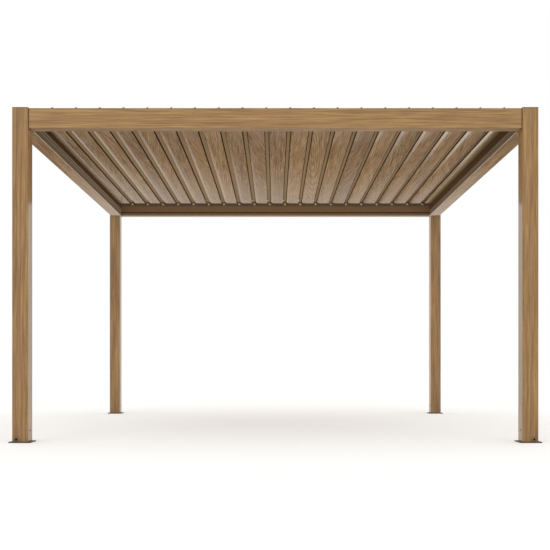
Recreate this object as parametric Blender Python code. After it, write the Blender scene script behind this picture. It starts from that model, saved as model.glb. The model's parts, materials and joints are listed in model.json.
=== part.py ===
"""Louvered pergola: four posts, a ring of gutter beams and a roof of turning louvers.

Metres, +Z up. The origin is on the ground in the middle of the plan, and -Y is the front.
The louvers run from front to back, side by side along X, and are modelled closed.
Run with: blender --background --python part.py
"""
import math

import bmesh
import bpy
from mathutils import Matrix, Vector

# Whole pergola
outer_width = 3.940
outer_depth = 3.940
headroom = 2.358            # ground to the underside of the beams
fit_gap = 0.0003            # left between pieces that seat on each other

# Posts, square tubes with rounded corners
post_side = 0.120
post_wall = 0.003
post_corner_radius = 0.005

# Post caps, plates with a short skirt inside the tube
cap_thickness = 0.005
cap_rise = 0.004            # top of the cap above the top of the beams
cap_skirt_depth = 0.005
cap_skirt_wall = 0.003

# Feet, anchor plates with a spigot inside the post
plate_side = 0.165
plate_thickness = 0.008
plate_corner_radius = 0.006
anchor_hole_radius = 0.005
anchor_hole_inset = 0.011   # hole centre to the plate's edges
spigot_height = 0.120
spigot_wall = 0.004

# Rainwater outlets, flanged bushes low on the front posts, trimmed flat above the foot
outlet_height = 0.0245      # ground to the bush's centre
outlet_offset = 0.028       # post's centre to the bush's centre, outwards
outlet_bore_radius = 0.008
outlet_sleeve_wall = 0.002
outlet_flange_radius = 0.0235
outlet_flange_thickness = 0.003
outlet_sleeve_overrun = 0.002

# Beams, open-top gutters with a hollow outer box
beam_height = 0.150
beam_setback = 0.010        # beam's outer face behind the post's
beam_wall = 0.003
beam_box_width = 0.035
beam_edge_radius = 0.0025
joint_groove_width = 0.005  # shadow line where a beam meets a post
joint_groove_depth = 0.0015

# Front and back beams: a narrow foot, and a ledge for the pivot rail
foot_width = 0.0945
foot_height = 0.0375
rail_height = 0.041
rail_thickness = 0.008

# Side beams: a wide gutter and a low inner lip
gutter_width = 0.068        # between the outer box and the lip
lip_groove_width = 0.002
lip_groove_depth = 0.006
lip_width = 0.020
lip_box_height = 0.052
lip_fin_setback = 0.003
lip_bead_height = 0.079     # bead part way up the fin
lip_bead_radius = 0.0015
lip_height = 0.125          # top of the fin, which closes the view over the gutter

# Louver roof
louver_count = 21
first_pivot_gap = 0.0455    # left beam's box to the first pivot
last_pivot_gap = 0.1755     # last pivot to the right beam's box
pivot_drop = 0.016          # pivot line below the top of the beams
louver_end_gap = 0.006      # louver's end to the pivot rail

# Louver section, seen from the front with the pivot at 0, 0
louver_skin = 0.002
panel_height = 0.008        # flat underside above the pivot
panel_start = 0.075
bevel_foot = 0.042          # where the steep bevel turns into a slight one
bevel_foot_height = 0.0095
bevel_head_height = 0.014
body_left = 0.0155
body_left_height = 0.040
body_edge_radius = 0.002
channel_reach = 0.0195      # rain channel's lip beyond the pivot
channel_gap = 0.0065        # that lip to the next louver's body
channel_low_height = 0.013
channel_high_height = 0.023
channel_lip_height = 0.014
nose_reach = 0.003          # nose beyond the next pivot
nose_height = 0.058
nose_rise_width = 0.024     # steeper end of the top skin, up to the nose
nose_rise_height = 0.048    # height where it starts
nose_lip_height = 0.038
end_cap_thickness = 0.003
vent_radius = 0.006

# Louver pins
lug_radius = 0.009
pin_radius = 0.0051
pin_hole_radius = 0.0056
pin_engagement = 0.0075

weld_depth = 0.002          # how far a welded piece reaches into its plate
arc_steps = 2
round_steps = 10
vent_steps = 6
flange_steps = 24

# Places worked out from the sizes above
beam_top = headroom + beam_height
post_top = beam_top + cap_rise - cap_thickness - fit_gap
post_bottom = plate_thickness + fit_gap
post_x = (outer_width - post_side) / 2
post_y = (outer_depth - post_side) / 2
post_inner_side = post_side - 2 * post_wall
inner_face_x = outer_width / 2 - post_side
inner_face_y = outer_depth / 2 - post_side
beam_face_x = outer_width / 2 - beam_setback
beam_face_y = outer_depth / 2 - beam_setback
end_beam_width = post_side - beam_setback
pivot_z = beam_top - pivot_drop
ledge_height = beam_height - rail_height
box_inner_x = beam_face_x - beam_box_width
first_pivot_x = first_pivot_gap - box_inner_x
last_pivot_x = box_inner_x - last_pivot_gap
louver_pitch = (last_pivot_x - first_pivot_x) / (louver_count - 1)
louver_length = 2 * (inner_face_y - louver_end_gap)
body_right = louver_pitch - channel_reach - channel_gap
nose_x = louver_pitch + nose_reach


def rounded(corners):
    """Outline through corners (a, b, radius), with an arc of a few steps at each radius."""
    points = []
    for index, (a, b, radius) in enumerate(corners):
        corner = Vector((a, b))
        if radius == 0:
            points.append(corner)
            continue
        before = Vector(corners[index - 1][:2]) - corner
        after = Vector(corners[(index + 1) % len(corners)][:2]) - corner
        half_angle = before.angle(after) / 2
        bisector = (before.normalized() + after.normalized()).normalized()
        centre = corner + bisector * radius / math.sin(half_angle)
        start = corner + before.normalized() * radius / math.tan(half_angle) - centre
        end = corner + after.normalized() * radius / math.tan(half_angle) - centre
        for step in range(arc_steps + 1):
            spoke = start.slerp(end, step / arc_steps).normalized()
            points.append(centre + spoke * radius)
    return points


def rounded_square(side, radius):
    half = side / 2
    return rounded([(-half, -half, radius), (half, -half, radius), (half, half, radius), (-half, half, radius)])


def circle(centre, radius, steps=round_steps):
    points = []
    for step in range(steps):
        angle = math.tau * step / steps
        points.append(Vector((centre[0] + radius * math.cos(angle), centre[1] + radius * math.sin(angle))))
    return points


def inset(points, distance):
    """Convex outline, given anticlockwise, moved inwards by distance."""
    moved = []
    for index, point in enumerate(points):
        before = (point - points[index - 1]).normalized()
        after = (points[(index + 1) % len(points)] - point).normalized()
        bisector = (after - before).normalized()
        half_angle = (-before).angle(after) / 2
        moved.append(point + bisector * distance / math.sin(half_angle))
    return moved


def extruded(name, outline, depth, holes=()):
    """Prism on the local XY plane, from Z = 0 to depth, with holes through it."""
    bm = bmesh.new()
    edges = []
    for loop in (outline, *holes):
        verts = [bm.verts.new((a, b, 0)) for a, b in loop]
        for index, vert in enumerate(verts):
            edges.append(bm.edges.new((verts[index - 1], vert)))
    bmesh.ops.triangle_fill(bm, use_beauty=True, use_dissolve=False, edges=edges)
    bmesh.ops.dissolve_limit(bm, angle_limit=0.01, verts=bm.verts, edges=bm.edges)
    grown = bmesh.ops.extrude_face_region(bm, geom=bm.faces[:], use_keep_orig=True)
    top = [item for item in grown["geom"] if isinstance(item, bmesh.types.BMVert)]
    bmesh.ops.translate(bm, vec=(0, 0, depth), verts=top)
    bmesh.ops.recalc_face_normals(bm, faces=bm.faces)
    return finished_mesh(name, bm)


def turned(name, profile, steps):
    """Closed profile of (radius, height) turned about the local Z axis."""
    bm = bmesh.new()
    rings = []
    for step in range(steps):
        angle = math.tau * step / steps
        ring = [bm.verts.new((r * math.cos(angle), r * math.sin(angle), h)) for r, h in profile]
        rings.append(ring)
    for step, ring in enumerate(rings):
        before = rings[step - 1]
        for index, vert in enumerate(ring):
            bm.faces.new((before[index - 1], before[index], vert, ring[index - 1]))
    bmesh.ops.recalc_face_normals(bm, faces=bm.faces)
    return finished_mesh(name, bm)


def finished_mesh(name, bm):
    mesh = bpy.data.meshes.new(name)
    bm.to_mesh(mesh)
    bm.free()
    mesh.shade_smooth()
    mesh.set_sharp_from_angle(angle=math.radians(35))
    return mesh


def finish(name, colour, roughness, metallic=0.0):
    material = bpy.data.materials.new(name)
    material.use_nodes = True
    shader = material.node_tree.nodes["Principled BSDF"]
    shader.inputs["Base Color"].default_value = (*colour, 1)
    shader.inputs["Roughness"].default_value = roughness
    shader.inputs["Metallic"].default_value = metallic
    material.diffuse_color = (*colour, 1)
    return material


def placed(name, mesh, matrix, material, parent=None):
    piece = bpy.data.objects.new(name, mesh)
    bpy.context.collection.objects.link(piece)
    if not mesh.materials:
        mesh.materials.append(None)
    piece.material_slots[0].link = "OBJECT"
    piece.material_slots[0].material = material
    piece.parent = parent
    piece.matrix_local = matrix
    return piece


def shaped_by(piece, operation, name, mesh, matrix):
    """Adds a Boolean whose tool stays in the scene as a wire guide."""
    tool = bpy.data.objects.new(name, mesh)
    bpy.context.collection.objects.link(tool)
    tool.matrix_world = matrix
    tool.display_type = "WIRE"
    tool.hide_render = True
    modifier = piece.modifiers.new(name, "BOOLEAN")
    modifier.operation = operation
    modifier.solver = "EXACT"
    modifier.object = tool


def facing(x_axis, y_axis, z_axis, origin):
    """Matrix whose local axes point along the three given world directions."""
    matrix = Matrix((x_axis, y_axis, z_axis)).transposed().to_4x4()
    matrix.translation = origin
    return matrix


def at(x, y, z):
    return Matrix.Translation((x, y, z))


def along_y(x, y, z):
    """Stands a section drawn in X and Z, so that its prism runs forwards along -Y from y."""
    return facing((1, 0, 0), (0, 0, 1), (0, -1, 0), (x, y, z))


# Clear the scene
for old in list(bpy.data.objects):
    bpy.data.objects.remove(old, do_unlink=True)

frame_oak = finish("oak_effect_coating_frame", (0.33, 0.20, 0.10), 0.50)
louver_oak = finish("oak_effect_coating_louvers", (0.30, 0.19, 0.10), 0.48)
cap_bronze = finish("bronze_coated_caps", (0.14, 0.10, 0.06), 0.55)
foot_bronze = finish("bronze_coated_feet", (0.13, 0.10, 0.06), 0.55)
rail_bronze = finish("bronze_coated_rails", (0.12, 0.08, 0.05), 0.55)
outlet_oak = finish("oak_effect_outlets", (0.30, 0.19, 0.10), 0.50)

pergola = bpy.data.objects.new("pergola", None)
bpy.context.collection.objects.link(pergola)


def build_foot(name, x, y):
    """Anchor plate with four holes, and a spigot that stands inside the post."""
    hole_place = plate_side / 2 - anchor_hole_inset
    holes = []
    for a in (-hole_place, hole_place):
        for b in (-hole_place, hole_place):
            holes.append(circle((a, b), anchor_hole_radius))
    plate = extruded(name, rounded_square(plate_side, plate_corner_radius), plate_thickness, holes)
    foot = placed(name, plate, at(x, y, 0), foot_bronze, pergola)
    spigot_side = post_inner_side - 2 * fit_gap
    spigot = extruded(
        name + "_spigot",
        rounded_square(spigot_side, post_corner_radius - post_wall),
        spigot_height + weld_depth,
        [rounded_square(spigot_side - 2 * spigot_wall, post_corner_radius - post_wall)],
    )
    shaped_by(foot, "UNION", name + "_spigot", spigot, at(x, y, plate_thickness - weld_depth))
    return foot


def build_cap(name, x, y):
    """Flat cap with a short square skirt inside the post."""
    plate = extruded(name, rounded_square(post_side, post_corner_radius), cap_thickness)
    cap = placed(name, plate, at(x, y, post_top + fit_gap), cap_bronze, pergola)
    skirt_side = post_inner_side - 2 * fit_gap
    skirt = extruded(
        name + "_skirt",
        rounded_square(skirt_side, post_corner_radius - post_wall),
        cap_skirt_depth + weld_depth,
        [rounded_square(skirt_side - 2 * cap_skirt_wall, post_corner_radius - post_wall)],
    )
    skirt_place = at(x, y, post_top + fit_gap - cap_skirt_depth)
    shaped_by(cap, "UNION", name + "_skirt", skirt, skirt_place)


def build_outlet(name, x):
    """Flanged bush through the post's front wall and the spigot behind it."""
    face_y = -outer_depth / 2
    outer = outlet_bore_radius + outlet_sleeve_wall
    reach = post_wall + fit_gap + spigot_wall + outlet_sleeve_overrun
    profile = [
        (outlet_bore_radius, -outlet_flange_thickness),
        (outlet_flange_radius, -outlet_flange_thickness),
        (outlet_flange_radius, 0),
        (outer, 0),
        (outer, reach),
        (outlet_bore_radius, reach),
    ]
    bush = placed(name, turned(name, profile, flange_steps), outlet_frame(x, face_y - fit_gap), outlet_oak, pergola)
    trim_top = plate_thickness + fit_gap
    trim_half = 2 * outlet_flange_radius
    trim = extruded(name + "_trim", rounded_square(2 * trim_half, 0), 2 * trim_half)
    shaped_by(bush, "DIFFERENCE", name + "_trim", trim, at(x, face_y, trim_top - 2 * trim_half))


def outlet_frame(x, y):
    """Local Z runs backwards along +Y, from the point y on the bush's axis."""
    return facing((1, 0, 0), (0, 0, -1), (0, 1, 0), (x, y, outlet_height))


def build_corner(side_x, side_y):
    """Post, cap and foot of one corner. side_x and side_y are -1 or 1."""
    corner = ("front" if side_y < 0 else "back") + ("_left" if side_x < 0 else "_right")
    x = side_x * post_x
    y = side_y * post_y
    tube = extruded(
        corner + "_post",
        rounded_square(post_side, post_corner_radius),
        post_top - post_bottom,
        [rounded_square(post_inner_side, post_corner_radius - post_wall)],
    )
    post = placed(corner + "_post", tube, at(x, y, post_bottom), frame_oak, pergola)
    foot = build_foot(corner + "_foot", x, y)
    build_cap(corner + "_post_cap", x, y)
    if side_x < 0:
        hole = extruded(corner + "_pin_hole", circle((0, 0), pin_hole_radius), 2 * post_wall)
        inner_wall_y = side_y * (inner_face_y + post_wall / 2)
        shaped_by(post, "DIFFERENCE", corner + "_pin_hole", hole, along_y(first_pivot_x, inner_wall_y + post_wall, pivot_z))
    if side_y < 0:
        outlet_x = x + side_x * outlet_offset
        build_outlet(corner + "_rain_outlet", outlet_x)
        clear_radius = outlet_bore_radius + outlet_sleeve_wall + fit_gap
        bore = extruded(corner + "_outlet_hole", circle((0, 0), clear_radius, flange_steps), 4 * (post_wall + spigot_wall))
        place = outlet_frame(outlet_x, -outer_depth / 2 - post_wall - spigot_wall)
        shaped_by(post, "DIFFERENCE", corner + "_outlet_hole", bore, place)
        shaped_by(foot, "DIFFERENCE", corner + "_outlet_hole_in_foot", bore, place)


def box_and_floor(floor_end):
    """Corners shared by every beam, from the top of the channel round to the foot's edge."""
    wall = beam_wall
    return [
        (beam_box_width, wall, 0),
        (beam_box_width, beam_height, 0),
        (0, beam_height, beam_edge_radius),
        (0, 0, beam_edge_radius),
        (floor_end, 0, 0),
    ]


def box_cell():
    wall = beam_wall
    far = beam_box_width - wall
    return rounded([(wall, wall, 0), (far, wall, 0), (far, beam_height - wall, 0), (wall, beam_height - wall, 0)])


def end_beam_section():
    """Front or back beam: outer box, channel, and a pivot wall that is set back over a ledge."""
    wall = beam_wall
    rail_back = end_beam_width - rail_thickness - fit_gap
    corners = box_and_floor(foot_width) + [
        (foot_width, foot_height, 0),
        (end_beam_width, foot_height, 0),
        (end_beam_width, ledge_height, 0),
        (rail_back, ledge_height, 0),
        (rail_back, beam_height, 0),
        (rail_back - wall, beam_height, 0),
        (rail_back - wall, ledge_height - wall, 0),
        (end_beam_width - wall, ledge_height - wall, 0),
        (end_beam_width - wall, foot_height + wall, 0),
        (foot_width - wall, foot_height + wall, 0),
        (foot_width - wall, wall, 0),
    ]
    return rounded(corners), [box_cell()]


def side_beam_section():
    """Left or right beam: outer box, wide gutter, and a low hollow lip with a fin on it."""
    wall = beam_wall
    lip_start = beam_box_width + gutter_width + lip_groove_width
    lip_end = lip_start + lip_width
    fin_face = lip_end - lip_fin_setback
    corners = box_and_floor(lip_start - lip_groove_width) + [
        (lip_start - lip_groove_width, lip_groove_depth, 0),
        (lip_start, lip_groove_depth, 0),
        (lip_start, 0, 0),
        (lip_end, 0, 0),
        (lip_end, lip_box_height, 0),
        (fin_face, lip_box_height, 0),
        (fin_face, lip_bead_height - lip_bead_radius, 0),
        (fin_face + lip_bead_radius, lip_bead_height, 0),
        (fin_face, lip_bead_height + lip_bead_radius, 0),
        (fin_face, lip_height, 0),
        (fin_face - wall, lip_height, 0),
        (fin_face - wall, lip_box_height, 0),
        (lip_start, lip_box_height, 0),
        (lip_start, lip_groove_depth + wall, 0),
        (lip_start - lip_groove_width - wall, lip_groove_depth + wall, 0),
        (lip_start - lip_groove_width - wall, wall, 0),
    ]
    lip_cell = rounded([
        (lip_start + wall, wall, 0),
        (lip_end - wall, wall, 0),
        (lip_end - wall, lip_box_height - wall, 0),
        (lip_start + wall, lip_box_height - wall, 0),
    ])
    return rounded(corners), [box_cell(), lip_cell]


def build_beam(name, section, length, matrix):
    """Beam along its local Z, from 0 to length, with a shadow groove at each end."""
    outline, cells = section
    beam = placed(name, extruded(name, outline, length, cells), matrix, frame_oak, pergola)
    depth = joint_groove_depth
    groove = [
        Vector((-beam_wall, -beam_wall)),
        Vector((foot_width / 2, -beam_wall)),
        Vector((foot_width / 2, depth)),
        Vector((depth, depth)),
        Vector((depth, beam_height + beam_wall)),
        Vector((-beam_wall, beam_height + beam_wall)),
    ]
    for end, start in (("near", -beam_wall), ("far", length - joint_groove_width)):
        ring = extruded(name + "_groove_" + end, groove, joint_groove_width + beam_wall)
        shaped_by(beam, "DIFFERENCE", name + "_groove_" + end, ring, matrix @ at(0, 0, start))


def build_beams():
    along_x = 2 * (inner_face_x - fit_gap)
    along_depth = 2 * (inner_face_y - fit_gap)
    end_section = end_beam_section()
    side_section = side_beam_section()
    front = facing((0, 1, 0), (0, 0, 1), (1, 0, 0), (-along_x / 2, -beam_face_y, headroom))
    back = facing((0, -1, 0), (0, 0, 1), (-1, 0, 0), (along_x / 2, beam_face_y, headroom))
    left = facing((1, 0, 0), (0, 0, 1), (0, -1, 0), (-beam_face_x, along_depth / 2, headroom))
    right = facing((-1, 0, 0), (0, 0, 1), (0, 1, 0), (beam_face_x, -along_depth / 2, headroom))
    build_beam("front_beam", end_section, along_x, front)
    build_beam("back_beam", end_section, along_x, back)
    build_beam("left_beam", side_section, along_depth, left)
    build_beam("right_beam", side_section, along_depth, right)


def build_rail(name, side_y):
    """Flat bar on a beam's ledge, bored for every pin but the first, which bears in the post."""
    length = 2 * (inner_face_x - fit_gap)
    foot_z = ledge_height + fit_gap
    outline = rounded([
        (-length / 2, 0, 0),
        (length / 2, 0, 0),
        (length / 2, beam_height - foot_z, 0),
        (-length / 2, beam_height - foot_z, 0),
    ])
    holes = []
    for index in range(1, louver_count):
        centre = (first_pivot_x + index * louver_pitch, beam_height - pivot_drop - foot_z)
        holes.append(circle(centre, pin_hole_radius))
    start_y = -inner_face_y if side_y < 0 else inner_face_y + rail_thickness
    bar = extruded(name, outline, rail_thickness, holes)
    placed(name, bar, along_y(0, start_y, headroom + foot_z), rail_bronze, pergola)


def louver_section():
    """Outline of one louver, with its pivot at 0, 0, anticlockwise from the bevel's foot."""
    skin = louver_skin
    edge = body_edge_radius
    channel_lip_top = channel_low_height + channel_lip_height
    rise_x = nose_x - nose_rise_width
    return [
        (bevel_foot, bevel_foot_height, 0),
        (panel_start, panel_height, 0),
        (body_right, panel_height, edge),
        (body_right, top_height(body_right) - skin, 0),
        (rise_x, nose_rise_height - skin, 0),
        (nose_x - skin, nose_height - 2 * skin, 0),
        (nose_x - skin, nose_lip_height, 0),
        (nose_x, nose_lip_height, 0),
        (nose_x, nose_height, edge),
        (rise_x, nose_rise_height, 0),
        (body_left, body_left_height, edge),
        (body_left, channel_high_height + skin, 0),
        (skin - channel_reach, channel_low_height + skin, 0),
        (skin - channel_reach, channel_lip_top, 0),
        (-channel_reach, channel_lip_top, 0),
        (-channel_reach, channel_low_height, 0),
        (body_left, channel_high_height, 0),
        (body_left, bevel_head_height, 0),
    ]


def top_height(x):
    """Height of the louver's top skin, which climbs from the body's left edge to the nose's rise."""
    share = (x - body_left) / (nose_x - nose_rise_width - body_left)
    return body_left_height + (nose_rise_height - body_left_height) * share


def channel_height(x):
    """Height of the rain channel's underside, which climbs from its lip to the body."""
    share = (x + channel_reach) / (body_left + channel_reach)
    return channel_low_height + (channel_high_height - channel_low_height) * share


def louver_cell():
    """Hollow of the louver's body, one skin inside it."""
    outer = [
        Vector((bevel_foot, bevel_foot_height)),
        Vector((panel_start, panel_height)),
        Vector((body_right, panel_height)),
        Vector((body_right, top_height(body_right))),
        Vector((body_left, body_left_height)),
        Vector((body_left, bevel_head_height)),
    ]
    return inset(outer, louver_skin)


def louver_lug():
    """Arm of the end cap, from the bevel down to the round lug about the pin."""
    arm_depth = louver_skin
    points = [
        Vector((bevel_foot, bevel_foot_height + arm_depth)),
        Vector((body_left + arm_depth, bevel_head_height + arm_depth)),
        Vector((body_left + arm_depth, channel_high_height + louver_skin / 2)),
        Vector((-lug_radius, channel_height(-lug_radius) + louver_skin / 2)),
    ]
    for step in range(round_steps // 2 + round_steps // 8 + 1):
        angle = math.pi + math.tau * step / round_steps
        points.append(Vector((lug_radius * math.cos(angle), lug_radius * math.sin(angle))))
    return points


def build_louver_mesh():
    """Hollow louver with an end cap, a lug and a pin at both ends, about its own pivot line."""
    half = louver_length / 2
    body = placed("louver_body", extruded("louver_body", rounded(louver_section()), louver_length),
                  along_y(0, half, 0), louver_oak)
    lug_length = end_cap_thickness + louver_end_gap - fit_gap
    pin_length = lug_length + pin_engagement
    vent_at = ((bevel_foot + body_right) / 2, (panel_height + top_height((bevel_foot + body_right) / 2)) / 2)
    for end, side in (("front", -1), ("back", 1)):
        inner = side * (half - end_cap_thickness)
        arm_start = inner if side > 0 else -half
        arm = extruded("louver_arm_" + end, louver_lug(), end_cap_thickness)
        shaped_by(body, "UNION", "louver_arm_" + end, arm, along_y(0, arm_start + end_cap_thickness, 0))
        lug = extruded("louver_lug_" + end, circle((0, 0), lug_radius - fit_gap), lug_length - fit_gap)
        lug_far = inner + side * fit_gap
        lug_start = lug_far + lug_length - fit_gap if side > 0 else lug_far
        shaped_by(body, "UNION", "louver_lug_" + end, lug, along_y(0, lug_start, 0))
        pin = extruded("louver_pin_" + end, circle((0, 0), pin_radius), pin_length - 2 * fit_gap)
        pin_far = inner + side * 2 * fit_gap
        pin_start = pin_far + pin_length - 2 * fit_gap if side > 0 else pin_far
        shaped_by(body, "UNION", "louver_pin_" + end, pin, along_y(0, pin_start, 0))
    cell = extruded("louver_cell", louver_cell(), louver_length - 2 * end_cap_thickness)
    shaped_by(body, "DIFFERENCE", "louver_cell", cell, along_y(0, half - end_cap_thickness, 0))
    vent = extruded("louver_vent", circle(vent_at, vent_radius, vent_steps), louver_length + 2 * end_cap_thickness)
    shaped_by(body, "DIFFERENCE", "louver_vent", vent, along_y(0, half + end_cap_thickness, 0))
    bpy.context.view_layer.update()
    solid = bpy.data.meshes.new_from_object(body.evaluated_get(bpy.context.evaluated_depsgraph_get()))
    solid.name = "louver"
    solid.transform(body.matrix_world)
    for modifier in list(body.modifiers):
        bpy.data.objects.remove(modifier.object, do_unlink=True)
    bpy.data.objects.remove(body, do_unlink=True)
    return solid


def build_louvers():
    mesh = build_louver_mesh()
    for index in range(louver_count):
        name = f"louver_{index + 1:02d}"
        placed(name, mesh, at(first_pivot_x + index * louver_pitch, 0, pivot_z), louver_oak, pergola)


for side_x in (-1, 1):
    for side_y in (-1, 1):
        build_corner(side_x, side_y)
build_beams()
build_rail("front_pivot_rail", -1)
build_rail("back_pivot_rail", 1)
build_louvers()
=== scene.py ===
# %% [markdown]
# Louvered pergola in wood-effect aluminium.
# The pergola is a ring of gutter beams on four posts, with louvers that turn together.
# This lesson loads its solid model, gives every piece the finish of the real one, adds the
# small fixings and seals that the solid model leaves out, and lights it like a catalogue picture.

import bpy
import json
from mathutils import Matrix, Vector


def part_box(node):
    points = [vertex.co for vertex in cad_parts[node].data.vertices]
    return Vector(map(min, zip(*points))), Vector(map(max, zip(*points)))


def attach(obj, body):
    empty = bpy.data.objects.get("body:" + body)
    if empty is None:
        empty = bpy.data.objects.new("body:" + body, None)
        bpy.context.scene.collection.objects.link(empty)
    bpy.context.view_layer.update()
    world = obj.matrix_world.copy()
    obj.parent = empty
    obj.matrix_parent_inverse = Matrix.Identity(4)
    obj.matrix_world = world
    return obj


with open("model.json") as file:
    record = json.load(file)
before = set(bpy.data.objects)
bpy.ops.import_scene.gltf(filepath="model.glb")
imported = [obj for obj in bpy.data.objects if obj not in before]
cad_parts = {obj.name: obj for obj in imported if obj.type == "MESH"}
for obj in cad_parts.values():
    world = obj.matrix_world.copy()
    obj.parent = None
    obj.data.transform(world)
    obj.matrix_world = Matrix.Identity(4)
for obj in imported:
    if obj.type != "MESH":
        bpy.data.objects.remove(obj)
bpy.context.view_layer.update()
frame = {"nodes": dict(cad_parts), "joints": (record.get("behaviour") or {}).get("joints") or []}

# %% [markdown]
# Much of what follows is worked out from the frame: the posts' faces, the beams' heights and
# the line of each louver's pins. Reading sizes from the pieces, instead of typing them again,
# keeps the small parts seated if the solid model changes.

# %% Sizes read from the frame
import json
import math

import bmesh
import bpy
from mathutils import Matrix, Vector

MM = 0.001
corners = ("front_left", "front_right", "back_left", "back_right")
beams = ("front_beam", "back_beam", "left_beam", "right_beam")
louvers = sorted(name for name in frame["nodes"] if name.startswith("louver_"))
pivots = {joint["child"]: Vector(joint["pos_m"]) for joint in frame["joints"]}
beam_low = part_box("front_beam")[0][2]
beam_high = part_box("front_beam")[1][2]
print("louvers:", len(louvers), "first pivot at", tuple(pivots[louvers[0]]))

# %% [markdown]
# Colours are picked as sRGB hex values, the way a paint chart gives them, but shaders add and
# multiply light, so they need linear values. One function does the conversion for the whole file.

# %% Colour helper
def linear(hex_colour, alpha=1.0):
    """sRGB hex, such as "9c7d58", as a linear RGBA tuple."""
    channels = [int(hex_colour[start:start + 2], 16) / 255 for start in (0, 2, 4)]
    return (*[c / 12.92 if c <= 0.04045 else ((c + 0.055) / 1.055) ** 2.4 for c in channels], alpha)


print("mid oak in linear light:", [round(c, 3) for c in linear("a5804e")])

# %% [markdown]
# A shader is a graph of nodes. One helper adds a node, sets its options, and fills each input
# with a number or with a link from another node's output.

# %% Node helper
def add_node(tree, kind, inputs=None, **settings):
    """Adds one node. inputs maps a socket's name or number to a value or to another socket."""
    node = tree.nodes.new(kind)
    for setting, value in settings.items():
        setattr(node, setting, value)
    for socket, value in (inputs or {}).items():
        if isinstance(value, bpy.types.NodeSocket):
            tree.links.new(value, node.inputs[socket])
        else:
            node.inputs[socket].default_value = value
    return node


def blank_material(name):
    """Material with an empty node tree."""
    material = bpy.data.materials.new(name)
    material.use_nodes = True
    material.node_tree.nodes.clear()
    return material, material.node_tree


# %% [markdown]
# The picture is taken from low down in front of the middle of the pergola, with the camera held
# level so that the posts stay upright. The lens is moved up instead of tilting the camera, as an
# architectural photographer does. The distances follow from how fast the posts and the roof's
# lines shrink towards the back.

# %% Camera
EYE_HEIGHT = 0.590
EYE_TO_CENTRE = 8.432
camera_data = bpy.data.cameras.new("camera")
camera_data.sensor_width = 36.0
camera_data.lens = 56.545
camera_data.shift_x = -0.0005
camera_data.shift_y = 0.1618
camera = bpy.data.objects.new("camera", camera_data)
bpy.context.collection.objects.link(camera)
camera.location = (0, -EYE_TO_CENTRE, EYE_HEIGHT)
camera.rotation_euler = (math.radians(90), 0, 0)
bpy.context.scene.camera = camera
print("camera", EYE_TO_CENTRE, "m in front, lens", camera_data.lens, "mm")

# %% [markdown]
# The catalogue picture has a white ground that runs into a white background, and soft light from
# all round. Most of the light here is an even white sky. It reaches the underside of the roof by
# way of the pale floor, which lies in the roof's own shade, so the panels turn out darker than
# the slanted edges that look out to the side. For the camera the floor adds a little white of its
# own, so it looks white and still keeps a faint shadow.

# %% Floor
FLOOR_GLOW = 0.30
FLOOR_REACH = 60            # from the middle to its edge

floor_mesh = bpy.data.meshes.new("floor")
floor_bm = bmesh.new()
bmesh.ops.create_grid(floor_bm, x_segments=1, y_segments=1, size=FLOOR_REACH)
floor_bm.to_mesh(floor_mesh)
floor_bm.free()
floor = bpy.data.objects.new("floor", floor_mesh)
bpy.context.collection.objects.link(floor)

floor_material, tree = blank_material("matt white studio floor")
path = add_node(tree, "ShaderNodeLightPath")
paint = add_node(tree, "ShaderNodeBsdfDiffuse", {"Color": linear("e9e8e5")})
strength = add_node(tree, "ShaderNodeMath", {0: path.outputs["Is Camera Ray"], 1: FLOOR_GLOW},
                    operation="MULTIPLY")
glow = add_node(tree, "ShaderNodeEmission", {"Color": (1, 1, 1, 1), "Strength": strength.outputs[0]})
both = add_node(tree, "ShaderNodeAddShader", {0: paint.outputs[0], 1: glow.outputs[0]})
add_node(tree, "ShaderNodeOutputMaterial", {"Surface": both.outputs[0]})
floor_mesh.materials.append(floor_material)
print("floor glow", FLOOR_GLOW)

# %% [markdown]
# A satin coating shows its surroundings most where it is seen at a low slant, as the roof is here.
# On the picture the far third of the roof is pale, the middle keeps its full colour, and the
# nearest part and the bevels on the right turn pale again. So the roof mirrors a white horizon,
# below it a dark band of ground, and then lit ground. A floor can't do that, being white to the
# camera, so mirror rays pass through it and meet the world, which is banded by height. They pass
# through the beams and posts behind the roof and beside it too, because on the picture the
# louvers stay pale right up to them.

# %% World
WORLD_LIGHT = 0.90
MIRRORED = {                # Z of a mirror ray's direction: brightness it meets
    -0.600: 0.20,
    -0.360: 0.30,
    -0.335: 2.00,
    -0.302: 1.90,
    -0.282: 0.80,
    -0.266: 0.02,
    -0.256: 0.00,
    -0.214: 0.00,
    -0.202: 0.60,
    -0.190: 0.36,
    -0.178: 0.65,
    -0.168: 1.10,
    -0.160: 0.90,
    -0.150: 0.60,
    -0.110: 0.60,
    -0.085: 1.00,
}
MIRROR_TINT = (1.0, 0.955, 0.885)           # a warm white
LOWEST, HIGHEST = -0.65, -0.05

NOT_MIRRORED = (            # pieces that mirror rays pass through, besides the floor
    "back_beam", "left_beam", "right_beam", "back_pivot_rail", "back_left_post", "back_right_post",
)

for piece in (floor, *(frame["nodes"][name] for name in NOT_MIRRORED)):
    piece.visible_glossy = False
world = bpy.data.worlds.new("white studio")
world.use_nodes = True
tree = world.node_tree
tree.nodes.clear()
path = add_node(tree, "ShaderNodeLightPath")
direction = add_node(tree, "ShaderNodeTexCoord").outputs["Generated"]
heading = add_node(tree, "ShaderNodeSeparateXYZ", {0: direction})
place = add_node(tree, "ShaderNodeMapRange",
                 {"Value": heading.outputs["Z"], "From Min": LOWEST, "From Max": HIGHEST})
bands = add_node(tree, "ShaderNodeValToRGB", {0: place.outputs[0]})
bands.color_ramp.interpolation = "EASE"
stops = bands.color_ramp.elements
stops.remove(stops[1])
for index, (height, bright) in enumerate(MIRRORED.items()):
    at = (height - LOWEST) / (HIGHEST - LOWEST)
    stop = stops[0] if index == 0 else stops.new(at)
    stop.position = at
    stop.color = (*(bright * part for part in MIRROR_TINT), 1)
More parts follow.
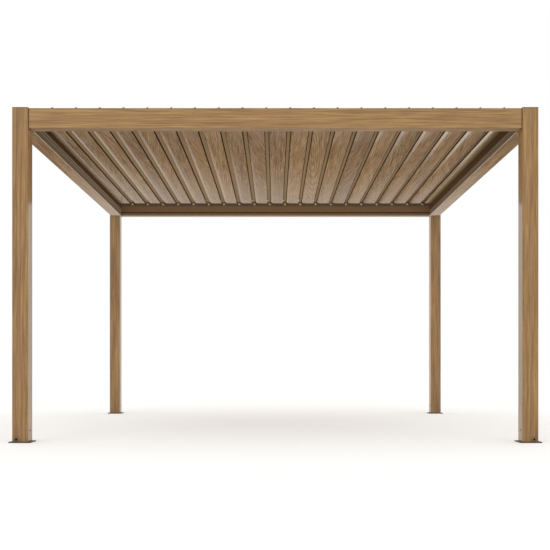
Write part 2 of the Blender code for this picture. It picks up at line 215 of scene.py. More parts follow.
seen = add_node(tree, "ShaderNodeMath",
                {0: path.outputs["Is Transmission Ray"], 1: path.outputs["Is Camera Ray"]},
                operation="ADD", use_clamp=True)
sky = add_node(tree, "ShaderNodeBackground", {"Color": (1, 1, 1, 1), "Strength": WORLD_LIGHT})
mirrored = add_node(tree, "ShaderNodeBackground", {"Color": bands.outputs["Color"], "Strength": 1.0})
white = add_node(tree, "ShaderNodeBackground", {"Color": (1, 1, 1, 1), "Strength": 1.0})
unseen = add_node(tree, "ShaderNodeMixShader",
                  {0: path.outputs["Is Glossy Ray"], 1: sky.outputs[0], 2: mirrored.outputs[0]})
studio = add_node(tree, "ShaderNodeMixShader",
                  {0: seen.outputs[0], 1: unseen.outputs[0], 2: white.outputs[0]})
add_node(tree, "ShaderNodeOutputWorld", {"Surface": studio.outputs[0]})
bpy.context.scene.world = world
bpy.context.scene.view_settings.view_transform = "Standard"
print("world light", WORLD_LIGHT)

# %% [markdown]
# An even sky alone gives no direction. Two large soft panels stand in front, one on each side of
# the camera and the left one stronger, so that front faces come out a little brighter than the
# faces that look sideways. A third one lies on the floor under the roof and shines up, in place
# of the light that a real studio's walls would send to the roof's middle.

# %% Soft lights
ROOF_MIDDLE = Vector((0, 0.7, 2.4))


def soft_panel(name, place, size, watts):
    """Area light that points at the middle of the roof, and isn't seen itself or mirrored."""
    data = bpy.data.lights.new(name, "AREA")
    data.shape = "RECTANGLE"
    data.size, data.size_y = size
    data.energy = watts
    panel = bpy.data.objects.new(name, data)
    bpy.context.collection.objects.link(panel)
    panel.location = place
    aim = ROOF_MIDDLE - Vector(place)
    panel.rotation_euler = aim.to_track_quat("-Z", "Y").to_euler()
    panel.visible_camera = False
    panel.visible_glossy = False


soft_panel("key panel", (-5.0, -9.0, 5.0), (5.0, 5.0), 100)
soft_panel("fill panel", (5.5, -8.0, 3.5), (5.0, 5.0), 60)
soft_panel("floor panel", (0, 0.7, 0.03), (2.8, 2.4), 34)
print("lights:", [light.name for light in bpy.data.lights])

# %% [markdown]
# The posts, beams and louvers are aluminium extrusions with a wood-effect powder coating: a film
# printed with oak is baked into the powder. To the eye that is a satin polyester skin (IOR 1.5)
# over a printed figure, with no metal showing. Printed oak could be drawn with a plain stretched
# noise, but then every face would look the same. Here it is built as solid wood would be: rings
# about a pith line that leans a little, so that each face cuts them at a slant, which gives arches
# and long lines. Over them lie streaks of fibres, soft bands, short dark pores, slow changes of
# tone and a faint red cast.

# %% Fibres and growth rings
RING_SPACING = 19 * MM      # growth rings, drawn wide enough to show
SWAY = 11 * MM              # how far the rings wander
SWAY_WIDTH = 200 * MM
SWAY_LENGTH = 1250 * MM
STREAKS = {                 # width, length, detail: fibres are finer on real oak
    "fibres": (9 * MM, 300 * MM, 3.0),
    "bands": (26 * MM, 1300 * MM, 1.0),
    "threads": (2.2 * MM, 120 * MM, 2.0),
    "blotches": (60 * MM, 500 * MM, 2.0),
    "cast": (32 * MM, 800 * MM, 1.0),
    "pores": (1.4 * MM, 30 * MM, 0.0),
}
TURNS = {"X": (0, math.radians(90), 0), "Y": (math.radians(-90), 0, 0), "Z": (0, 0, 0)}


def up_the_grain(tree, spot, grain, pith, swing):
    """Coordinates from the pith, with the fibres along Z. swing turns them on the face."""
    local = add_node(tree, "ShaderNodeVectorMath", {0: spot, 1: pith}, operation="SUBTRACT")
    upright = add_node(tree, "ShaderNodeVectorRotate",
                       {"Vector": local.outputs[0], "Rotation": TURNS[grain]},
                       rotation_type="EULER_XYZ", invert=True)
    swung = add_node(tree, "ShaderNodeMapping", {"Vector": upright.outputs[0], "Rotation": (0, swing, 0)})
    return swung.outputs[0]


def stretched_noise(tree, upright, seed, width, length, detail):
    """Noise drawn out along the fibres. Each seed gives another place in it."""
    shift = (seed * 3.71, seed * 1.93, seed * 7.37)
    drawn = add_node(tree, "ShaderNodeMapping",
                     {"Vector": upright, "Location": shift, "Scale": (1 / width, 1 / width, 1 / length)})
    return add_node(tree, "ShaderNodeTexNoise", {"Vector": drawn.outputs[0], "Scale": 1.0, "Detail": detail})


def growth_rings(tree, upright, seed, lean):
    """Wave that is high on the ring lines. The rings sway, and lean away from the fibres."""
    sway = stretched_noise(tree, upright, seed, SWAY_WIDTH, SWAY_LENGTH, 1.5).outputs["Color"]
    sway = add_node(tree, "ShaderNodeVectorMath", {0: sway, 1: (0.5, 0.5, 0.5)}, operation="SUBTRACT")
    sway = add_node(tree, "ShaderNodeVectorMath", {0: sway.outputs[0], "Scale": 2 * SWAY}, operation="SCALE")
    bent = add_node(tree, "ShaderNodeVectorMath", {0: upright, 1: sway.outputs[0]}, operation="ADD")
    leaned = add_node(tree, "ShaderNodeMapping", {"Vector": bent.outputs[0], "Rotation": lean})
    wave = add_node(
        tree, "ShaderNodeTexWave",
        {"Vector": leaned.outputs[0], "Scale": math.tau / 20 / RING_SPACING, "Distortion": 0.6,
         "Detail": 1.0, "Detail Scale": 0.4, "Phase Offset": seed},
        wave_type="RINGS", rings_direction="Z", wave_profile="SIN",
    )
    return wave.outputs["Fac"]


# %% [markdown]
# The streaks added up give a level, and a ramp turns that level into oak from dark to light. A
# photo of wood could be laid on instead, but it would repeat from louver to louver. The ring
# lines, the red cast and the pores are mixed in after the ramp, since each has its own colour.

# %% Colours of the printed oak
OAK_LIGHT = "c09b63"
OAK_MID = "a5804e"
OAK_DARK = "80603b"
OAK_LINE = "6c4a22"
OAK_RED = "96664a"
WEIGHTS = {"fibres": 0.90, "bands": 0.28, "threads": 0.50, "blotches": 0.26}


def oak_colour(tree, streak, wave, rings, tone):
    """Colour of the print. rings is how dark the ring lines are, tone the mean place on the ramp."""
    level = tone - sum(WEIGHTS.values()) / 2
    for kind, weight in WEIGHTS.items():
        level = add_node(tree, "ShaderNodeMath", {0: streak[kind], 1: weight, 2: level},
                         operation="MULTIPLY_ADD").outputs[0]
    ramp = add_node(tree, "ShaderNodeValToRGB", {0: level})
    stops = ramp.color_ramp.elements
    stops[0].position = 0.18
    stops[0].color = linear(OAK_DARK)
    stops[1].position = 0.76
    stops[1].color = linear(OAK_LIGHT)
    stops.new(0.46).color = linear(OAK_MID)

    late = add_node(tree, "ShaderNodeMapRange",
                    {"Value": wave, "From Min": 0.45, "From Max": 1.0, "To Min": 0.0, "To Max": 2 * rings})
    late = add_node(tree, "ShaderNodeMath", {0: late.outputs[0], 1: streak["blotches"]},
                    operation="MULTIPLY")
    red = add_node(
        tree, "ShaderNodeMapRange",
        {"Value": streak["cast"], "From Min": 0.48, "From Max": 0.70, "To Min": 0.0, "To Max": 0.36},
    )
    pore = add_node(
        tree, "ShaderNodeMapRange",
        {"Value": streak["pores"], "From Min": 0.62, "From Max": 0.78, "To Min": 0.0, "To Max": 0.25},
    )
    colour = ramp.outputs["Color"]
    for mask, shade in ((red, OAK_RED), (late, OAK_LINE), (pore, OAK_LINE)):
        colour = add_node(tree, "ShaderNodeMix", {0: mask.outputs[0], 6: colour, 7: linear(shade)},
                          data_type="RGBA").outputs[2]
    return colour


# %% [markdown]
# The finished coating has the print under a clear satin skin that is a little rougher on some
# fibres than on others. A few places on each extrusion aren't printed, and others carry painted
# shade and painted highlights. Masks paint these over the print, and make them mirror less than the coating
# does.

# %% Wood-effect coating
COATING_IOR = 1.5
MATT, GLOSSY = 0.9, 0.2     # roughness from which a place mirrors little, or all that it should


def wood_effect(name, grain, pith, lean, seed, rings, tone, swing=0.0, parts=()):
    """Oak-printed coating. grain is the axis of the fibres, and pith a point on the ring centre
    line, which leans. rings and tone are as for oak_colour, and swing turns the print on the face.
    parts are masks that paint over it."""
    material, tree = blank_material(name)
    spot = add_node(tree, "ShaderNodeTexCoord").outputs["Object"]
    upright = up_the_grain(tree, spot, grain, pith, swing)
    streak = {kind: stretched_noise(tree, upright, seed, *shape).outputs["Fac"]
              for kind, shape in STREAKS.items()}
    colour = oak_colour(tree, streak, growth_rings(tree, upright, seed, lean), rings, tone)
    rough = add_node(
        tree, "ShaderNodeMapRange",
        {"Value": streak["fibres"], "From Min": 0.3, "From Max": 0.7, "To Min": 0.09, "To Max": 0.14},
    ).outputs[0]
    for mask, hex_colour, mask_rough in [part(tree, spot) for part in parts]:
        colour = add_node(tree, "ShaderNodeMix", {0: mask, 6: colour, 7: linear(hex_colour)},
                          data_type="RGBA").outputs[2]
        rough = add_node(tree, "ShaderNodeMix", {0: mask, 2: rough, 3: mask_rough},
                         data_type="FLOAT").outputs[0]
    gloss = 0.5
    if parts:
        gloss = add_node(
            tree, "ShaderNodeMapRange",
            {"Value": rough, "From Min": GLOSSY, "From Max": MATT, "To Min": 0.5, "To Max": 0.06},
        ).outputs[0]
    bump = add_node(tree, "ShaderNodeBump",
                    {"Height": streak["fibres"], "Strength": 0.05, "Distance": 0.5 * MM}).outputs[0]
    shader = add_node(tree, "ShaderNodeBsdfPrincipled",
                      {"Base Color": colour, "Roughness": rough, "Normal": bump, "IOR": COATING_IOR,
                       "Specular IOR Level": gloss})
    add_node(tree, "ShaderNodeOutputMaterial", {"Surface": shader.outputs[0]})
    return material


# %% [markdown]
# Each post gets its own print, because no two extrusions leave the wrapping line with the figure
# in the same place. On the posts the fibres run up.

# %% Finish the posts
def dress(node, material):
    """Gives a piece of the solid model one finish all over."""
    for slot in frame["nodes"][node].material_slots:
        slot.link = "OBJECT"
        slot.material = material


for index, corner in enumerate(corners):
    low, high = (Vector(point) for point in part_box(corner + "_post"))
    centre = (low + high) / 2
    pith = (centre.x + 0.10 - 0.05 * index, centre.y + 0.06, centre.z)
    finish_name = "wood-effect coating, " + corner + " post"
    finish = wood_effect(finish_name, "Z", pith, (0.020, 0.012, 0), 1.0 + index, rings=0.24, tone=0.37)
    dress(corner + "_post", finish)
print("dressed", len(corners), "posts")

# %% [markdown]
# The beams are wrapped along their length, outside and underneath. What faces the gutters and the
# roof is plain coating. Each such strip could be a piece of its own, but its shape is already in
# the solid model, so a mask by position paints it. A mask is a function that adds its nodes to a
# material, and gives how much it covers there, the colour and the roughness.

# %% Masks by position
def in_range(tree, value, low, high):
    """1 where value lies from low to high, and 0 elsewhere."""
    return add_node(tree, "ShaderNodeMath", {0: value, 1: (low + high) / 2, 2: (high - low) / 2},
                    operation="COMPARE").outputs[0]


def overlap(tree, first, second):
    """1 where both are 1."""
    return add_node(tree, "ShaderNodeMath", {0: first, 1: second}, operation="MULTIPLY").outputs[0]


def band(axis, reach, bottom, top, hex_colour, roughness=MATT):
    """Mask of a strip of a beam's inner side, between two heights above the beam's underside.
    reach is how far it lies from the middle of the pergola at most."""
    def mask(tree, spot):
        place = add_node(tree, "ShaderNodeSeparateXYZ", {0: spot})
        away = add_node(tree, "ShaderNodeMath", {0: place.outputs[axis]}, operation="ABSOLUTE").outputs[0]
        level = in_range(tree, place.outputs["Z"], beam_low + bottom, beam_low + top)
        return overlap(tree, in_range(tree, away, -reach, reach), level), hex_colour, roughness
    return mask


# %% [markdown]
# The plain coating is grey-brown. It covers the ledges of the front and back beams, where a dark
# band of painted shadow runs along them, and the inner lip of the side beams, another extrusion.
# On the lip the ribs and the lower edge are painted pale as highlights, and a dark strip of
# painted shade lies where it faces the first or the last louver.

# %% Finish the beams
LIP_FACE = 1.8395           # from the middle of the pergola to the back of the lip's fin
LEDGE_FACE = 1.8660         # and to the front of the ledge under the pivot rail
LIP_EDGE = 1.8405           # to the inner edge of the wood effect under the side beams
TOP = 400 * MM              # above everything on a beam
LEDGE = (                   # front and back beams: bottom and top above the underside, colour
    (1.2 * MM, TOP, "896d50"),
    # a dark band of painted shadow along the ledge
    (28 * MM, 40 * MM, "4f3b28"),
    (1.2 * MM, 28 * MM, "8b745a"),
)
LIPS = {
    "left_beam": (
        (1.2 * MM, 84 * MM, "7d6e5b"),
        # above the ribs: painted shade where the lip faces the first louver
        (84 * MM, TOP, "573d24"),
        # the two ribs: painted highlights
        (44 * MM, 50 * MM, "b09c82"),
        (76.5 * MM, 81.5 * MM, "b09c82"),
    ),
    "right_beam": (
        (1.2 * MM, 60 * MM, "7d6e5b"),
        # painted shade where the lip faces the last louver
        (60 * MM, TOP, "5a432b"),
        # a rib: painted highlight
        (43 * MM, 55 * MM, "94826b"),
    ),
}
# pale painted highlight along the lip's lower edge
lower_edge_highlight = band("X", LIP_EDGE, -MM, 1.2 * MM, "c2b29c", 0.4)

for index, beam in enumerate(beams):
    low, high = (Vector(point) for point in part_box(beam))
    centre = (low + high) / 2
    runs_across = beam in ("front_beam", "back_beam")
    pith = (centre.x, centre.y - 0.06, centre.z + 0.10)
    if runs_across:
        grain, masks = "X", [band("Y", LEDGE_FACE, *strip) for strip in LEDGE]
    else:
        grain, masks = "Y", [band("X", LIP_FACE, *strip) for strip in LIPS[beam]] + [lower_edge_highlight]
    finish_name = "wood-effect coating, " + beam.replace("_", " ")
    lean = (0.012, 0.008, 0)
    dress(beam, wood_effect(finish_name, grain, pith, lean, 11.0 + index, rings=0.07, tone=0.42, parts=masks))
print("dressed", len(beams), "beams")

# %% [markdown]
# Each louver carries its own print too, with the pith line moved sideways and tilted by a
# different amount and the whole print swung a little, so some show arches, some straight lines
# and some a slant. On the picture a few are printed darker than the others.

# %% Sizes and tones of the louvers
END_CAP = 3 * MM
PIN_REACH = 13.2 * MM       # pin's tip beyond the louver's end
LUG_RADIUS = 9.2 * MM
CHANNEL_REACH = 19.5 * MM   # rain channel's lip, left of the pivot
BODY_LEFT = 15.5 * MM       # left wall of the hollow body, right of the pivot
JOINT_WIDTH = 6.5 * MM      # between that lip and the louver on its left
PITCH = pivots[louvers[1]].x - pivots[louvers[0]].x
BODY_RIGHT = PITCH - CHANNEL_REACH - JOINT_WIDTH
UNDERSIDE = 16 * MM         # heights above the pivot: the underside lies below this,
CHANNEL_FLOOR = 11 * MM     # the rain channel's plain coating above this,
CORNER_TOP = 41 * MM        # its painted corner shade below this,
JOINT_TOP = 24 * MM         # and the joint's painted shade below this
FAR = 1.0                   # beyond everything on a louver

# By the louver's number: how dark its ring lines are, and the tone of those printed darker
PLAIN = 0.14
FIGURED = {2: 0.30, 3: 0.36, 7: 0.36, 8: 0.44, 10: 0.30, 11: 0.32, 12: 0.32, 13: 0.55, 16: 0.32,
           17: 0.36, 18: 0.28}
DEEP = {1: 0.34, 2: 0.33, 4: 0.20, 5: 0.31, 6: 0.27, 7: 0.36, 9: 0.24, 10: 0.30, 11: 0.28, 15: 0.23,
        17: 0.32, 18: 0.36, 19: 0.34}
print("louvers every", round(PITCH / MM, 1), "mm,", len(FIGURED), "with a strong figure")

# %% [markdown]
# The rain channel on a louver's left edge has no print. Dark strips of painted shade lie in its
# corner and on the walls of the joint to the next louver: in the joint they are painted wide on
# the left louvers, and in the corner on the right ones. The end caps are dark moulded plastic,
# and the round lug about each pin is a beige bush. Masks by position paint these too, each
# measured from its louver's pivot.

# %% Masks on a louver
def end_cap_mask(tree, spot):
    """Mask of the caps at both ends of a louver."""
    place = add_node(tree, "ShaderNodeSeparateXYZ", {0: spot})
    along = add_node(tree, "ShaderNodeMath", {0: place.outputs["Y"]}, operation="ABSOLUTE").outputs[0]
    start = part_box(louvers[0])[1][1] - PIN_REACH - END_CAP
    return in_range(tree, along, start - 0.2 * MM, FAR + start), "33261b", 0.55


def lug_mask(pivot):
    """Mask of the round lug about one louver's pins."""
    def mask(tree, spot):
        away = add_node(tree, "ShaderNodeVectorMath", {0: spot, 1: tuple(pivot)}, operation="SUBTRACT")
        flat = add_node(tree, "ShaderNodeVectorMath", {0: away.outputs[0], 1: (1, 0, 1)},
                        operation="MULTIPLY")
        reach = add_node(tree, "ShaderNodeVectorMath", {0: flat.outputs[0]}, operation="LENGTH")
        return in_range(tree, reach.outputs["Value"], -LUG_RADIUS, LUG_RADIUS), "c9b8a2", 0.5
    return mask


def strip_mask(pivot, left, right, bottom, top, hex_colour):
    """Mask of a strip along one louver. Its sides are measured from the pivot."""
    def mask(tree, spot):
        place = add_node(tree, "ShaderNodeSeparateXYZ", {0: spot})
        across = in_range(tree, place.outputs["X"], pivot.x + left, pivot.x + right)
        level = in_range(tree, place.outputs["Z"], pivot.z + bottom, pivot.z + top)
        return overlap(tree, across, level), hex_colour, MATT
    return mask


def painted_beam_shade_mask(pivot, clear, dark):
    """Mask of painted shade on the underside of a louver where it lies by a beam, and mirrors nothing
    bright. It fades out from dark to clear, both measured from the pivot."""
    def mask(tree, spot):
        place = add_node(tree, "ShaderNodeSeparateXYZ", {0: spot})
        shade = add_node(
            tree, "ShaderNodeMapRange",
            {"Value": place.outputs["X"], "From Min": pivot.x + clear, "From Max": pivot.x + dark},
        )
        level = in_range(tree, place.outputs["Z"], pivot.z, pivot.z + UNDERSIDE)
        return overlap(tree, shade.outputs[0], level), "7d6845", MATT
    return mask


# %% [markdown]
# One loop dresses all the louvers. Sines of the louver's number take the place of chance, so
# neighbours differ and yet every run gives the same roof. Only the first and the last louver lie
# by a beam, and get painted shade on their undersides beside it. The first one's rain channel is
# painted dark as shade too.

# %% Finish the louvers
# painted shade in the joints between the louvers
JOINT_SHADE = "342316"
# painted shade in the corner of each rain channel
CORNER_SHADE = "33221a"
wall = BODY_LEFT + 0.5 * MM     # just past the body's left wall
# Where a beam's painted shade ends and where it is darkest, right of the louver's pivot
beam_shade = {0: (90 * MM, 16 * MM), len(louvers) - 1: (35 * MM, 85 * MM)}

for index, louver in enumerate(louvers):
    pivot = pivots[louver]
    wander = math.sin(index * 2.4) ** 3
    pith = (pivot.x + 0.095 + 0.22 * wander, 0.7 * math.cos(index * 1.7), pivot.z + 0.050)
    lean = (0.065 * math.cos(index * 1.3), 0.016 * wander, 0)
    swing = math.radians(7) * math.sin(index * 1.9) ** 3
    rings = FIGURED.get(index + 1, PLAIN)
    tone = DEEP.get(index + 1, 0.40 + 0.03 * math.sin(index * 2.3))
    # the plain channel coating, painted dark as shade on the first louver beside the beam
    channel_coating_and_shade = "4a3624" if index == 0 else "8a7152"
    # widths of the painted shade in the joint and in the corner, by the louver's number
    joint_shade_width = min(3.5, max(0.5, 10.5 - index)) * MM
    corner_width = min(7.5, max(0.6, 2.0 * (index - 6.5))) * MM
    parts = [painted_beam_shade_mask(pivot, *beam_shade[index])] if index in beam_shade else []
    parts += [
        strip_mask(pivot, -CHANNEL_REACH - MM, BODY_LEFT + 0.2 * MM, CHANNEL_FLOOR, FAR, channel_coating_and_shade),
        strip_mask(pivot, wall - corner_width, wall, -FAR, CORNER_TOP, CORNER_SHADE),
        strip_mask(pivot, BODY_RIGHT - joint_shade_width, FAR, -FAR, JOINT_TOP, JOINT_SHADE),
        strip_mask(pivot, -FAR, 0.6 * MM - CHANNEL_REACH, -FAR, FAR, JOINT_SHADE),
        end_cap_mask,
        lug_mask(pivot),
    ]
    finish_name = "wood-effect coating, " + louver.replace("_", " ")
    dress(louver, wood_effect(finish_name, "Y", pith, lean, 21.0 + index * 1.3, rings, tone, swing, parts))
print("dressed", len(louvers), "louvers")

# %% [markdown]
# Feet, caps and pivot rails have a plain bronze powder coating. Powder flows out in the oven and
# sets with a slight orange peel, so a fine bump and a faint cloud of tone are all it needs. The
# rain outlets are moulded polypropylene, and that skin looks so alike that one function does both.

# %% Finish the feet, caps, rails and outlets
PEEL = 2 * MM
CLOUD = 60 * MM


def satin_coating(name, hex_colour, roughness):
    """Satin skin with a slight orange peel, as on baked powder or moulded plastic."""
    material, tree = blank_material(name)
    spot = add_node(tree, "ShaderNodeTexCoord").outputs["Object"]
    peel = add_node(tree, "ShaderNodeTexNoise", {"Vector": spot, "Scale": 1 / PEEL, "Detail": 2.0})
    bump = add_node(tree, "ShaderNodeBump",
                    {"Height": peel.outputs["Fac"], "Strength": 0.1, "Distance": 0.1 * MM})
    cloud = add_node(tree, "ShaderNodeTexNoise", {"Vector": spot, "Scale": 1 / CLOUD, "Detail": 3.0})
    tone = add_node(
        tree, "ShaderNodeMapRange",
        {"Value": cloud.outputs["Fac"], "From Min": 0.3, "From Max": 0.7, "To Min": 0.88, "To Max": 1.1},
    )
    colour = add_node(tree, "ShaderNodeVectorMath", {0: linear(hex_colour)[:3], "Scale": tone.outputs[0]},
                      operation="SCALE")
    shader = add_node(tree, "ShaderNodeBsdfPrincipled",
                      {"Base Color": colour.outputs[0], "Roughness": roughness,
                       "Normal": bump.outputs[0], "IOR": COATING_IOR})
    add_node(tree, "ShaderNodeOutputMaterial", {"Surface": shader.outputs[0]})
    return material


foot_bronze = satin_coating("satin bronze powder coating, feet", "514838", 0.5)
cap_bronze = satin_coating("satin bronze powder coating, caps", "665339", 0.5)
rail_brown = satin_coating("dark brown powder coating, rails", "6b5238", 0.5)
outlet_brown = satin_coating("brown moulded polypropylene, outlets", "7c5e3f", 0.5)
for corner in corners:
    dress(corner + "_foot", foot_bronze)
    dress(corner + "_post_cap", cap_bronze)
for rail in ("front_pivot_rail", "back_pivot_rail"):
    dress(rail, rail_brown)
for outlet in ("front_left_rain_outlet", "front_right_rain_outlet"):
    dress(outlet, outlet_brown)

# %% [markdown]
# What is left are small parts that the solid model leaves out: rubber seals, brush strips,
# gaskets and screws. They are drawn as prisms and turned shapes straight from their sections.

# %% Helpers for small parts
def add_bar(bm, section, axis, start, end):
    """Prism along an axis. Its section is given in the two other axes, in the order X, Y, Z."""
    def spot(a, b, along):
        return {"X": (along, a, b), "Y": (a, along, b), "Z": (a, b, along)}[axis]
    rings = [[bm.verts.new(spot(a, b, along)) for a, b in section] for along in (start, end)]
    for index in range(len(section)):
        bm.faces.new((rings[0][index - 1], rings[0][index], rings[1][index], rings[1][index - 1]))
    bm.faces.new(rings[0])
    bm.faces.new(rings[1])


def box_section(a0, a1, b0, b1):
    """Rectangle as a section for add_bar."""
    return [(a0, b0), (a1, b0), (a1, b1), (a0, b1)]


def new_piece(name, bm, material, body):
    """Makes an object of a mesh that rides on a body of the solid model."""
    bmesh.ops.recalc_face_normals(bm, faces=bm.faces)
    mesh = bpy.data.meshes.new(name)
    bm.to_mesh(mesh)
    bm.free()
    mesh.materials.append(material)
    mesh.shade_smooth()
    mesh.set_sharp_from_angle(angle=math.radians(35))
    piece = bpy.data.objects.new(name, mesh)
    bpy.context.collection.objects.link(piece)
    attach(piece, body)
    return piece


# %% [markdown]
# Extruded EPDM rubber and moulded nylon have a dull skin with a fine grain in it, and so do
# bristles of polypropylene, but there the grain is drawn out upward into lines. One function
# makes all three, and takes how dull the skin is as the roughness.

# %% Rubber and plastic
GRAIN = MM / 0.9            # 1.1 mm, drawn coarser than the real grain to show
BRISTLE = MM / 0.06         # 17 mm, the length of a bristle's line
POLYMER_IOR = 1.52


def polymer(name, hex_colour, roughness, bristles=False):
    """Rubber or plastic with a fine grain, or with upright lines as on a brush."""
    material, tree = blank_material(name)
    spot = add_node(tree, "ShaderNodeTexCoord").outputs["Object"]
    scale = (1 / GRAIN, 1 / GRAIN, 1 / (BRISTLE if bristles else GRAIN))
    drawn = add_node(tree, "ShaderNodeMapping", {"Vector": spot, "Scale": scale})
    noise = add_node(tree, "ShaderNodeTexNoise", {"Vector": drawn.outputs[0], "Scale": 1.0, "Detail": 2.0})
    lines = noise.outputs["Fac"]
    tone = add_node(tree, "ShaderNodeMapRange",
                    {"Value": lines, "From Min": 0.3, "From Max": 0.7, "To Min": 0.8, "To Max": 1.15})
    colour = add_node(tree, "ShaderNodeVectorMath", {0: linear(hex_colour)[:3], "Scale": tone.outputs[0]},
                      operation="SCALE")
    bump = add_node(tree, "ShaderNodeBump",
                    {"Height": lines, "Strength": 0.4 if bristles else 0.1, "Distance": 0.3 * MM}).outputs[0]
    shader = add_node(tree, "ShaderNodeBsdfPrincipled",
                      {"Base Color": colour.outputs[0], "Roughness": roughness, "Normal": bump,
                       "IOR": POLYMER_IOR})
    add_node(tree, "ShaderNodeOutputMaterial", {"Surface": shader.outputs[0]})
    return material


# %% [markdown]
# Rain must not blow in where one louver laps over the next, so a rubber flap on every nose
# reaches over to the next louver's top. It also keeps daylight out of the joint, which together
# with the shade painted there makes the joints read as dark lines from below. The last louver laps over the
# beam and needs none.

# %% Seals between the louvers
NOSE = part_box(louvers[0])[1][0] - pivots[louvers[0]].x      # nose's tip from its pivot
FLAP_LENGTH = 2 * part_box(louvers[0])[1][1] - 2 * PIN_REACH - 4 * MM

rubber = polymer("dark brown EPDM rubber", "2e2116", 0.8)
for louver in louvers[:-1]:
    x, z = pivots[louver].x, pivots[louver].z
    tip = x + PITCH + BODY_LEFT + 3 * MM
    root = x + NOSE + 0.2 * MM
    flap = [
        (root, z + 53 * MM), (root, z + 42 * MM), (root + 1.2 * MM, z + 42 * MM),
        (root + 1.4 * MM, z + 47.5 * MM), (tip, z + 42.2 * MM), (tip, z + 43.4 * MM),
        (root + 1.8 * MM, z + 50.5 * MM), (root + 1.2 * MM, z + 53 * MM),
    ]
    bm = bmesh.new()
    add_bar(bm, flap, "Y", -FLAP_LENGTH / 2, FLAP_LENGTH / 2)
    new_piece(louver + "_flap_seal", bm, rubber, louver)
print("flap seals:", len(louvers) - 1, "each", round(FLAP_LENGTH, 3), "m long")

# %% [markdown]
# The louvers' ends stop short of the pivot rails. A strip brush on each rail closes that gap, as
# under a door. A foam strip would rub on the noses as they turn, so the real ones use bristles.

# %% Brush strips on the pivot rails
rail_low, rail_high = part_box("front_pivot_rail")
brush = polymer("dark brown polypropylene bristles", "2c231b", 0.8, bristles=True)
BRUSH_TOP = 22 * MM         # above the rail
SPINE_HEIGHT = 5 * MM
for side, rail in ((-1, "front_pivot_rail"), (1, "back_pivot_rail")):
    y = side * (abs(rail_high[1]) + abs(rail_low[1])) / 2
    top = rail_high[2] + 0.3 * MM
    spine = box_section(y - 2.5 * MM, y + 2.5 * MM, top, top + SPINE_HEIGHT)
    bristles = box_section(y - 1.2 * MM, y + 1.2 * MM, top + SPINE_HEIGHT + 0.05 * MM, top + BRUSH_TOP)
    bm = bmesh.new()
    for section in (spine, bristles):
        add_bar(bm, section, "X", rail_low[0] + MM, rail_high[0] - MM)
    new_piece(rail.replace("pivot_rail", "brush_strip"), bm, brush, "frame")
print("brush strips stand", BRUSH_TOP, "m above the rails")

# %% [markdown]
# Where a beam meets a post there is a thin dark line: a brown gasket in a groove, round the outer
# face and the underside. It is set a little below the face, so its own shade makes it look dark.

# %% Gaskets at the beams' ends
GROOVE = 5.0 * MM
GROOVE_DEPTH = 1.5 * MM
UNDER_LEG = 47 * MM         # how far the groove runs in on the underside
SUNK = 0.3 * MM             # how far the gasket lies below the faces, and from the groove's sides
BEDDED = 0.2 * MM           # and from the groove's floor
brown_rubber = polymer("brown EPDM rubber", "5c4630", 0.6)

for beam in beams:
    low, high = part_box(beam)
    runs_across = beam in ("front_beam", "back_beam")
    along, across = (0, 1) if runs_across else (1, 0)
    side = -1 if low[across] + high[across] < 0 else 1
    face = max(abs(low[across]), abs(high[across]))
    bm = bmesh.new()
    for end, step in ((low[along], 1), (high[along], -1)):
        start, stop = sorted((end + step * SUNK, end + step * (GROOVE - SUNK)))
        outer, floor_at = side * (face - SUNK), side * (face - GROOVE_DEPTH + BEDDED)
        inner = side * (face - UNDER_LEG + 0.5 * MM)
        bottom, lid = beam_low + SUNK, beam_low + GROOVE_DEPTH - BEDDED
        top = beam_high - SUNK
        bar = [(outer, bottom), (outer, top), (floor_at, top), (floor_at, lid), (inner, lid), (inner, bottom)]
        add_bar(bm, bar, "X" if runs_across else "Y", start, stop)
    new_piece(beam + "_gaskets", bm, brown_rubber, "frame")
print("gaskets", round((GROOVE - 2 * SUNK) / MM, 1), "mm wide")

# %% [markdown]
# Between a louver's end and the rail, a pale nylon ring on the round lug keeps the metal ends
# from rubbing. From below they show as pale dots at the back ends of the joints. Each is turned
# from a short section: a flat ring with rounded rims.

# %% Nylon rings on the louvers' pins
RING_RADIUS = 13 * MM
RING_BORE = 9.0 * MM
RING_THICKNESS = 2.4 * MM
RING_MIDDLE = 2.6 * MM      # beyond the louver's end


def add_ring(bm, centre):
    """Flat ring with rounded rims about an axis that runs from front to back."""
    steps = 32
    half, round_off = RING_THICKNESS / 2, 0.6 * MM
    section = [(RING_BORE, -half), (RING_RADIUS - round_off, -half), (RING_RADIUS, round_off - half),
               (RING_RADIUS, half - round_off), (RING_RADIUS - round_off, half), (RING_BORE, half)]
    rows = []
    for step in range(steps):
        angle = math.tau * step / steps
        spots = [Vector((r * math.cos(angle), y, r * math.sin(angle))) for r, y in section]
        rows.append([bm.verts.new(centre + spot) for spot in spots])
    for step in range(steps):
        before, here = rows[step - 1], rows[step]
        for index in range(len(section)):
            bm.faces.new((before[index - 1], before[index], here[index], here[index - 1]))


nylon = polymer("pale nylon", "d9ccba", 0.45)
for louver in louvers:
    pivot = pivots[louver]
    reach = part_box(louver)[1][1] - PIN_REACH + RING_MIDDLE
    bm = bmesh.new()
    for side in (-1, 1):
        add_ring(bm, Vector((pivot.x, side * reach, pivot.z)))
    new_piece(louver + "_pin_rings", bm, nylon, louver)
print("rings", 2 * len(louvers), "of", round(2 * RING_RADIUS / MM), "mm")

# %% [markdown]
# Each foot is held by four anchor screws, sunk into its plate, and each post is held to its foot's
# spigot by two button-head screws on its inner sides. A screw head is a turned profile with a
# hexagon socket sunk into it. The socket is modelled, because a dark disc would look painted on.

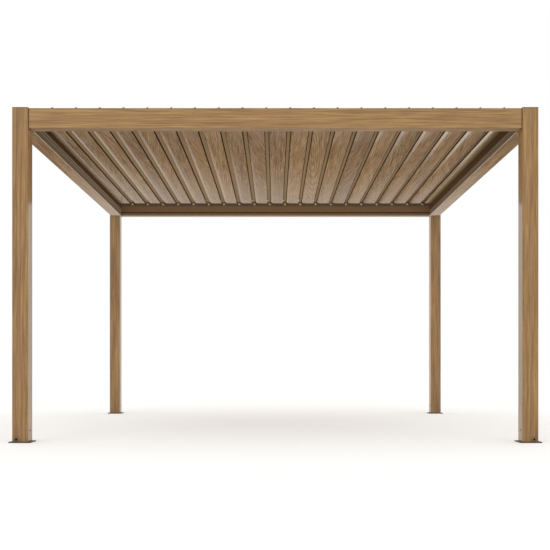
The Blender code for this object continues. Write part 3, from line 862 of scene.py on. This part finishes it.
# %% Shape of a screw
def add_screw(bm, place, axis, radius, height, socket):
    """Domed head with a hexagon socket. It stands on place and points along axis."""
    steps = 24
    turn = Vector((0, 0, 1)).rotation_difference(Vector(axis)).to_matrix().to_4x4()
    matrix = Matrix.Translation(place) @ turn
    profile = [(radius, 0), (radius, 0.45 * height), (0.86 * radius, 0.8 * height), (1.25 * socket, height)]
    angles = [math.tau * i / steps for i in range(steps)]
    corner_angles = [math.tau * round(i * 6 / steps) / 6 for i in range(steps)]
    rings = [[(r * math.cos(angle), r * math.sin(angle), h) for angle in angles] for r, h in profile]
    for r, h in ((socket, height), (0.97 * socket, 0.35 * height)):
        rings.append([(r * math.cos(angle), r * math.sin(angle), h) for angle in corner_angles])
    rows = [[bm.verts.new(matrix @ Vector(point)) for point in ring] for ring in rings]
    for lower, upper in zip(rows, rows[1:]):
        for index in range(steps):
            bm.faces.new((lower[index - 1], lower[index], upper[index], upper[index - 1]))
    bm.faces.new(rows[0])
    bm.faces.new(rows[-1])


# %% [markdown]
# The screws are stainless steel, blackened in a bath, which leaves a dull dark metal. Bare steel
# would be paler than the feet and catch the eye, and on the picture no screw does.

# %% Blackened steel
GRIT = 0.4 * MM             # drawn coarser than the real one to show


def steel(name, hex_colour, roughness):
    """Blackened stainless steel with a fine grit in its gloss."""
    material, tree = blank_material(name)
    spot = add_node(tree, "ShaderNodeTexCoord").outputs["Object"]
    grit = add_node(tree, "ShaderNodeTexNoise", {"Vector": spot, "Scale": 1 / GRIT, "Detail": 2.0})
    rough = add_node(tree, "ShaderNodeMapRange",
                     {"Value": grit.outputs["Fac"], "To Min": roughness - 0.08, "To Max": roughness + 0.08})
    shader = add_node(tree, "ShaderNodeBsdfPrincipled",
                      {"Base Color": linear(hex_colour), "Metallic": 1.0, "Roughness": rough.outputs[0]})
    add_node(tree, "ShaderNodeOutputMaterial", {"Surface": shader.outputs[0]})
    return material


# %% [markdown]
# The anchor screws sit in the holes at the corners of a foot's plate, and the button heads on the
# post above it. Their places are worked out from the plate's corners and the post's faces. One
# object holds the six of each foot, because they share a finish and never move apart.

# %% Screws on the feet
HOLE_INSET = 11 * MM        # of an anchor hole from the plate's edges
SEAT_GAP = 0.3 * MM         # between the plate and the post
ANCHOR_HEAD = (4.4 * MM, 3.2 * MM)          # radius and height
ANCHOR_DEPTH = 3.5 * MM     # of the head's base, below the plate's top
BUTTON_HEAD = (6 * MM, 3 * MM)
SIDE_SCREW_HEIGHT = 90 * MM
SOCKET = 2.2 * MM           # radius of the hexagon
screw_steel = steel("blackened stainless steel", "57503f", 0.4)
for corner in corners:
    plate_low, plate_high = (Vector(point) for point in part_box(corner + "_foot"))
    post_low, post_high = (Vector(point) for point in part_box(corner + "_post"))
    centre = (post_low + post_high) / 2
    plate_top = post_low.z - SEAT_GAP
    bm = bmesh.new()
    for x in (plate_low.x + HOLE_INSET, plate_high.x - HOLE_INSET):
        for y in (plate_low.y + HOLE_INSET, plate_high.y - HOLE_INSET):
            add_screw(bm, (x, y, plate_top - ANCHOR_DEPTH), (0, 0, 1), *ANCHOR_HEAD, SOCKET)
    half = (post_high.x - post_low.x) / 2 + 0.1 * MM        # just off the post's face
    for inward in (Vector((-1 if centre.x > 0 else 1, 0, 0)), Vector((0, -1 if centre.y > 0 else 1, 0))):
        place = Vector((centre.x, centre.y, SIDE_SCREW_HEIGHT)) + half * inward
        add_screw(bm, place, inward, *BUTTON_HEAD, SOCKET)
    new_piece(corner + "_screws", bm, screw_steel, "frame")
print("screws:", 6 * len(corners))
